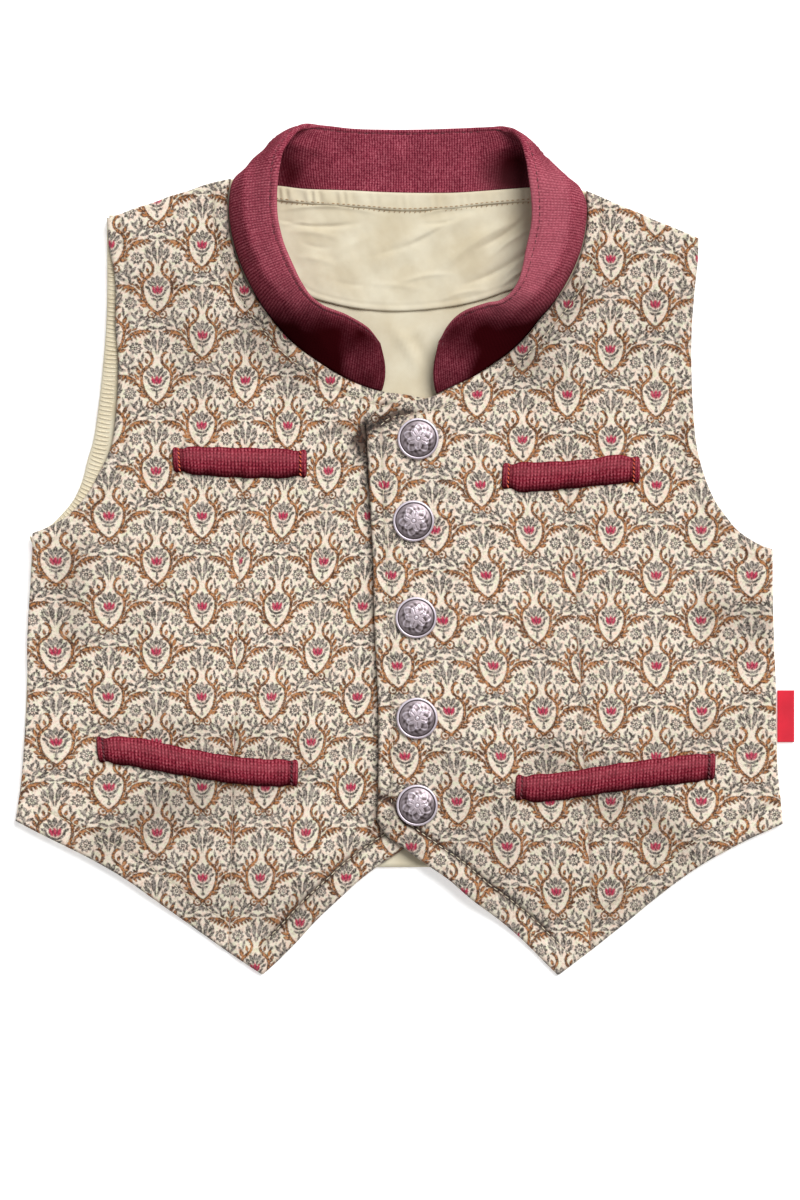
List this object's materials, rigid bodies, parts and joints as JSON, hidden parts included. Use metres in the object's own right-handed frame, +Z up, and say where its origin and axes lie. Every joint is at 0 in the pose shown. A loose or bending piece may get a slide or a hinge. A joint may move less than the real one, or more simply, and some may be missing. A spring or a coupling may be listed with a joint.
{
  "type": "child's folk vest, buttoned and laid flat",
  "caption": "Buttoned child's folk vest laid flat, printed ogee cloth with pointed fronts, knit stand collar, ribbed welts and domed metal buttons.",
  "frame": {"origin": "bottom centre of the whole vest, on the surface it lies on", "axes": "+Z up from the surface, +Y towards the neck, +X towards the wearer's left side"},
  "size_m": [0.2924, 0.3199, 0.0206],
  "materials": {
    "print_cloth": "matt cotton with a small printed ogee repeat",
    "lining_cloth": "plain matt cotton",
    "burgundy_knit": "matt ribbed cotton knit",
    "button_metal": "antiqued cast metal with a raised rim",
    "label_tape": "woven tape, blank"
  },
  "bodies": {
    "root": {"back_panel": "print_cloth", "front_right": "print_cloth", "front_left": "print_cloth", "armhole_facing": "lining_cloth", "yoke_lining": "lining_cloth", "neck_tape": "lining_cloth", "stand_collar": "burgundy_knit", "welt_right_chest": "burgundy_knit", "welt_left_chest": "burgundy_knit", "welt_right_pocket": "burgundy_knit", "welt_left_pocket": "burgundy_knit", "button_1": "button_metal", "button_2": "button_metal", "button_3": "button_metal", "button_4": "button_metal", "button_5": "button_metal", "side_label": "label_tape"}
  },
  "joints": []
}
